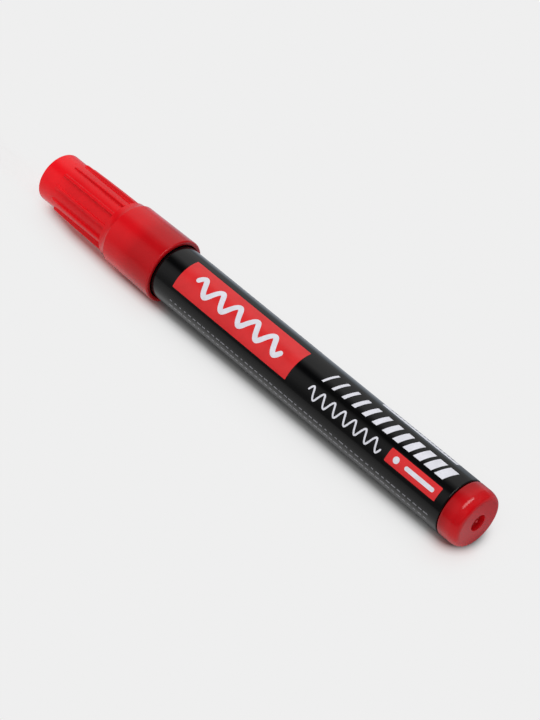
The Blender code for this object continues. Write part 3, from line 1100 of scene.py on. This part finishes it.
def ribbon(name, path, width, corner, across):
    """A flat ribbon along a path of (x, arc) points, with rounded corners at both ends."""
    vertices = []
    faces = []
    along = [0]
    for first, second in zip(path, path[1:]):
        along.append(along[-1] + math.dist(first, second))
    for i, (x, arc) in enumerate(path):
        before = path[max(i - 1, 0)]
        after = path[min(i + 1, len(path) - 1)]
        heading = math.atan2(after[1] - before[1], after[0] - before[0])
        from_end = min(corner, along[i], along[-1] - along[i])
        half = width / 2 - corner + math.sqrt(corner**2 - (corner - from_end) ** 2)
        half = max(half, width * NARROWEST)
        for j in range(across + 1):
            side = half * (2 * j / across - 1)
            vertices.append((x - math.sin(heading) * side, arc + math.cos(heading) * side, 0))
    for i in range(len(path) - 1):
        for j in range(across):
            start = i * (across + 1) + j
            faces.append((start, start + across + 1, start + across + 2, start + 1))
    mesh = bpy.data.meshes.new(name)
    mesh.from_pydata(vertices, [], faces)
    return mesh


# %% Helpers that print on the barrel
PANEL_CORNER = 0.25 * MM
PANEL_STEP = 4 * MM
PANEL_STRIPS = 30


def print_on_barrel(name, helper, ink):
    """Gives wrapped print its thickness and puts it on the marker. Blender adds .001 to its name."""
    skin = helper.modifiers.new("ink_thickness", "SOLIDIFY")
    skin.thickness = INK_THICKNESS
    skin.offset = -1
    show_piece(plain_mesh(name, made_plain(helper, name)), "marker", ink)


def wrapped(mesh, ink, layers):
    """A flat mesh on the barrel, lifted by a number of layers of ink."""
    values = {"Lift": INK_LIFT * layers, "Finish": ink}
    return with_tree(mesh, WRAP_ROUND_BARREL, {**BARREL_SIZES, **values})


def arc_of(degrees):
    """The length round the barrel of an angle from its top, positive towards the front."""
    return math.radians(degrees) * BARREL_RADIUS


def panel(name, x_range, degrees, ink):
    """A printed rectangle between two places in mm and two angles."""
    start, end = (x * MM for x in x_range)
    low, high = (arc_of(angle) for angle in degrees)
    steps = end_steps(end - start, PANEL_CORNER, PANEL_STEP)
    path = [(start + step, (low + high) / 2) for step in steps]
    flat = ribbon(name + "_flat", path, high - low, PANEL_CORNER, PANEL_STRIPS)
    print_on_barrel(name, wrapped(flat, ink, 1), ink)


# %% [markdown]
# ## The printed panels
#
# The artwork is plain: a large red panel with a white wave, like a line drawn with the marker, a small red
# panel with a dot and a line, and a white panel on the far side. A panel is a wide ribbon and a stroke is a
# narrow one that follows a path, so one function draws both.

# %% Print the panels
panel("red_panel", (-21.5, 16.27), (-18, 54.3), RED_INK)
panel("small_red_panel", (47.1, 62.1), (24, 51.6), RED_INK)
panel("far_white_panel", (36.4, 59.0), (-105, -38), PALE_INK)

# %% Draw the strokes
STROKE_STRIPS = 6
WAVE_STEP = 0.15 * MM
LINE_STEP = 1 * MM
SMALL_PANEL_MIDDLE = 37.8
WAVE_WIDTH = 1.3 * MM
LINE_WIDTH = 1.0 * MM
DOT_WIDTH = 1.6 * MM


def stroke(name, path, width, layers):
    """A drawn line of one width with round ends."""
    flat = ribbon(name + "_flat", path, width, width / 2, STROKE_STRIPS)
    print_on_barrel(name, wrapped(flat, PALE_INK, layers), PALE_INK)


def wave_path(start, end, middle, half_height, count, width):
    """A wave along the marker, with close points where its ends are rounded."""
    path = []
    for distance in end_steps(end - start, width / 2, WAVE_STEP):
        turn_angle = math.tau * count * distance / (end - start)
        path.append((start + distance, middle - half_height * math.sin(turn_angle)))
    return path


def line_path(start, length, width):
    """A straight line along the middle of the small panel."""
    steps = end_steps(length, width / 2, LINE_STEP)
    return [(start + step, arc_of(SMALL_PANEL_MIDDLE)) for step in steps]


wave = wave_path(-17.2 * MM, 11.8 * MM, arc_of(18), 1.75 * MM, 5, WAVE_WIDTH)
stroke("wave_mark", wave, WAVE_WIDTH, 2)
fine_wave = wave_path(22.5 * MM, 45.2 * MM, arc_of(40), 1.35 * MM, 7, 0.4 * MM)
stroke("fine_wave_mark", fine_wave, 0.45 * MM, 1)
stroke("line_mark", line_path(52.2 * MM, 8.6 * MM, LINE_WIDTH), LINE_WIDTH, 2)
stroke("dot_mark", line_path(48.8 * MM, DOT_WIDTH, DOT_WIDTH), DOT_WIDTH, 2)

# %% [markdown]
# ## Rows of repeated marks
#
# Bars, stripes and dashes repeat along the barrel. They could be drawn one by one, but one tree makes them
# all: a line of points, a small flat bar on each one, with its own length, and a slant. The length grows
# along the row or varies with a fixed seed. The tree ends with the same wrap as the other print.

# %% Build the tree for rows of marks


def row_of_marks_tree():
    sizes = ("Start", "Pitch", "Arc", "Height", "First Length", "Last Length", "Vary", "Slant")
    tree, given, made = new_tree(
        "row_of_marks",
        "GeometryNodeTree",
        {
            "Base Mesh": "Geometry",
            "Count": "Int",
            "Seed": "Int",
            **{size: "Float" for size in sizes},
            **WRAP_INPUTS,
        },
        {"Row": "Geometry"},
    )
    start = add_node(tree, "ShaderNodeCombineXYZ", {"X": given["Start"], "Y": given["Arc"]})
    step = add_node(tree, "ShaderNodeCombineXYZ", {"X": given["Pitch"]})
    spacing = {"Count": given["Count"], "Start Location": start, "Offset": step}
    line = add_node(tree, "GeometryNodeMeshLine", spacing)
    number = add_node(tree, "GeometryNodeInputIndex").outputs[0]
    share = work(tree, "DIVIDE", number, work(tree, "SUBTRACT", given["Count"], 1.0))
    growth = work(tree, "SUBTRACT", given["Last Length"], given["First Length"])
    grown = work(tree, "MULTIPLY_ADD", share, growth, given["First Length"])
    chance = add_node(tree, "FunctionNodeRandomValue", {"Seed": given["Seed"]}, data_type="FLOAT")
    shorter = work(tree, "SUBTRACT", 1.0, work(tree, "MULTIPLY", chance.outputs[1], given["Vary"]))
    length = work(tree, "MULTIPLY", grown, shorter)
    size = add_node(tree, "ShaderNodeCombineXYZ", {"X": length, "Y": given["Height"], "Z": 1.0})
    unit_bar = {"Size X": 1.0, "Size Y": 1.0, "Vertices X": 2, "Vertices Y": 9}
    bar = add_node(tree, "GeometryNodeMeshGrid", unit_bar)
    placing = {"Points": line, "Instance": bar, "Scale": size}
    bars = add_node(tree, "GeometryNodeInstanceOnPoints", placing)
    whole = add_node(tree, "GeometryNodeRealizeInstances", {0: bars})
    drawn = add_node(tree, "GeometryNodeInputPosition")
    flat = add_node(tree, "ShaderNodeSeparateXYZ", {0: drawn}).outputs
    above = work(tree, "SUBTRACT", flat["Y"], given["Arc"])
    lean = add_node(tree, "ShaderNodeCombineXYZ", {"X": work(tree, "MULTIPLY", above, given["Slant"])})
    slanted = add_node(tree, "GeometryNodeSetPosition", {"Geometry": whole, "Offset": lean})
    wrap = add_node(tree, "GeometryNodeGroup", node_tree=WRAP_ROUND_BARREL)
    tree.links.new(slanted.outputs[0], wrap.inputs["Flat Print"])
    for label in WRAP_INPUTS:
        tree.links.new(given[label], wrap.inputs[label])
    tree.links.new(wrap.outputs[0], made["Row"])
    return tree


ROW_OF_MARKS = row_of_marks_tree()
print("tree", ROW_OF_MARKS.name, "with", len(ROW_OF_MARKS.nodes), "nodes")

# %% Print the rows
DASH_HALF_ANGLE = 1.2
DASH_LENGTHS = (0.85, 0.85)
DASH_VARY = 0.6
# The name of a row of dashes, its angle from the top, its places along the marker in mm and its count.
DASH_ROWS = (
    ("dashes_0", 82, (-21.5, 62.1), 52),
    ("dashes_1", 95, (-21.5, 62.1), 52),
    ("far_dashes_0", -60, (-21.5, 16.2), 24),
    ("far_dashes_1", -55, (-21.5, 16.2), 24),
    ("far_dashes_2", -50, (-21.5, 16.2), 24),
)


def row_of_marks(name, x_range, degrees, count, lengths, ink, vary=0.0, slant=0.0, seed=0, layers=1):
    """A row of marks between two places in mm and two angles. The lengths are shares of the pitch."""
    low, high = (arc_of(angle) for angle in degrees)
    pitch = (x_range[1] - x_range[0]) * MM / count
    values = {
        "Count": count,
        "Start": x_range[0] * MM + pitch / 2,
        "Pitch": pitch,
        "Arc": (low + high) / 2,
        "Height": high - low,
        "First Length": pitch * lengths[0],
        "Last Length": pitch * lengths[1],
        "Vary": vary,
        "Slant": slant,
        "Seed": seed,
        "Lift": INK_LIFT * layers,
        "Finish": ink,
        **BARREL_SIZES,
    }
    helper = with_tree(bpy.data.meshes.new(name + "_flat"), ROW_OF_MARKS, values)
    print_on_barrel(name, helper, ink)


row_of_marks("bold_bars", (22.9, 61.5), (-18.5, 12.8), 12, (0.2, 0.75), PALE_INK, slant=-0.35)
row_of_marks("far_stripes", (38.1, 57.5), (-98, -46), 16, (0.5, 0.5), BARREL_BLACK, layers=2)
for seed, (name, middle, x_range, count) in enumerate(DASH_ROWS):
    angles = (middle - DASH_HALF_ANGLE, middle + DASH_HALF_ANGLE)
    row_of_marks(name, x_range, angles, count, DASH_LENGTHS, GREY_INK, vary=DASH_VARY, seed=seed)
